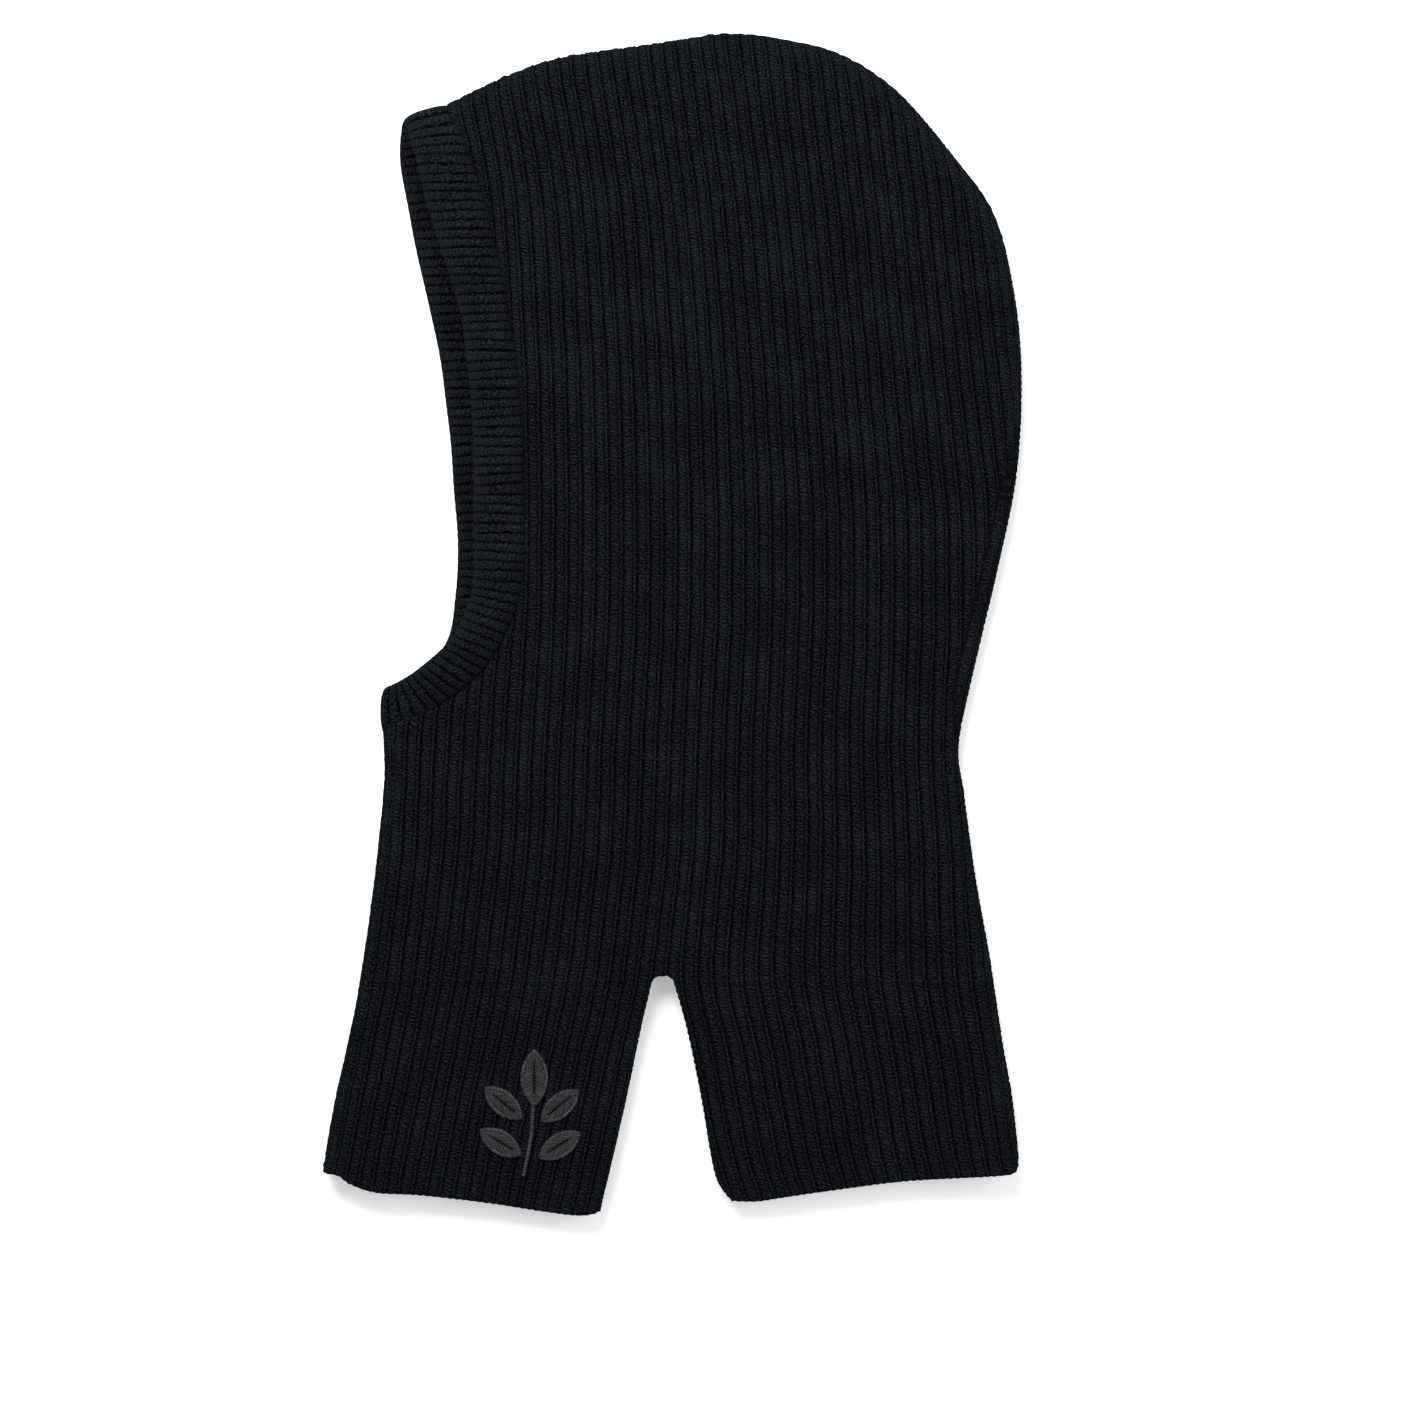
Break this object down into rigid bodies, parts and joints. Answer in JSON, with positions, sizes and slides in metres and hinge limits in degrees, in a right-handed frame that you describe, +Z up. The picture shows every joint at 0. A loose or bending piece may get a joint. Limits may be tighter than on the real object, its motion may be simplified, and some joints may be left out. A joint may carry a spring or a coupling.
{
  "type": "ribbed knit balaclava",
  "caption": "Full-head rib-knit balaclava laid flat: hood, rolled band round the face opening, and front and back bibs parted by side slits.",
  "frame": {"origin": "on the table, under the middle of the flat shape's box", "axes": "+X to the back of the head, +Y to the crown, +Z up from the table, so the wearer's left side is on top"},
  "size_m": [0.248, 0.421, 0.0162],
  "materials": {
    "rib_knit": "near-black lambswool in 1x1 rib, matt with a short fuzz",
    "band_knit": "the same wool in a finer rib, rolled double",
    "hem": "tubular cast-on edge of the same wool",
    "selvedge": "tight selvedge of the same wool",
    "linking": "linking chain of the same wool, sunk between two pieces",
    "thread_fill": "charcoal embroidery thread, fill stitch",
    "thread_edge": "charcoal embroidery thread, raised satin stitch"
  },
  "bodies": {
    "hood": {"hood_left_panel": "rib_knit", "hood_right_panel": "rib_knit", "crown_fold": "rib_knit", "back_seam": "linking", "neck_front_fold": "rib_knit", "face_band_left": "band_knit", "face_band_right": "band_knit", "face_band_brow_fold": "band_knit", "face_band_chin_fold": "band_knit", "band_seam_left": "linking", "band_seam_right": "linking", "slit_head_left": "selvedge", "slit_head_right": "selvedge"},
    "front_bib": {"front_bib_left_panel": "rib_knit", "front_bib_right_panel": "rib_knit", "front_bib_fold": "rib_knit", "front_hem": "hem", "front_slit_edge_left": "selvedge", "front_slit_edge_right": "selvedge", "sprig_leaves": "thread_fill", "sprig_outline": "thread_edge"},
    "back_bib": {"back_bib_left_panel": "rib_knit", "back_bib_right_panel": "rib_knit", "back_bib_seam": "linking", "back_hem": "hem", "back_slit_edge_left": "selvedge", "back_slit_edge_right": "selvedge"}
  },
  "joints": [
    {"name": "front_bib_lift", "type": "hinge", "parent": "hood", "child": "front_bib", "pos_m": [-0.063, -0.148, 0.015], "axis": [-1, 0, 0], "range_deg": [0, 70]},
    {"name": "back_bib_lift", "type": "hinge", "parent": "hood", "child": "back_bib", "pos_m": [0.061, -0.148, 0.015], "axis": [-1, 0, 0], "range_deg": [0, 70]}
  ]
}
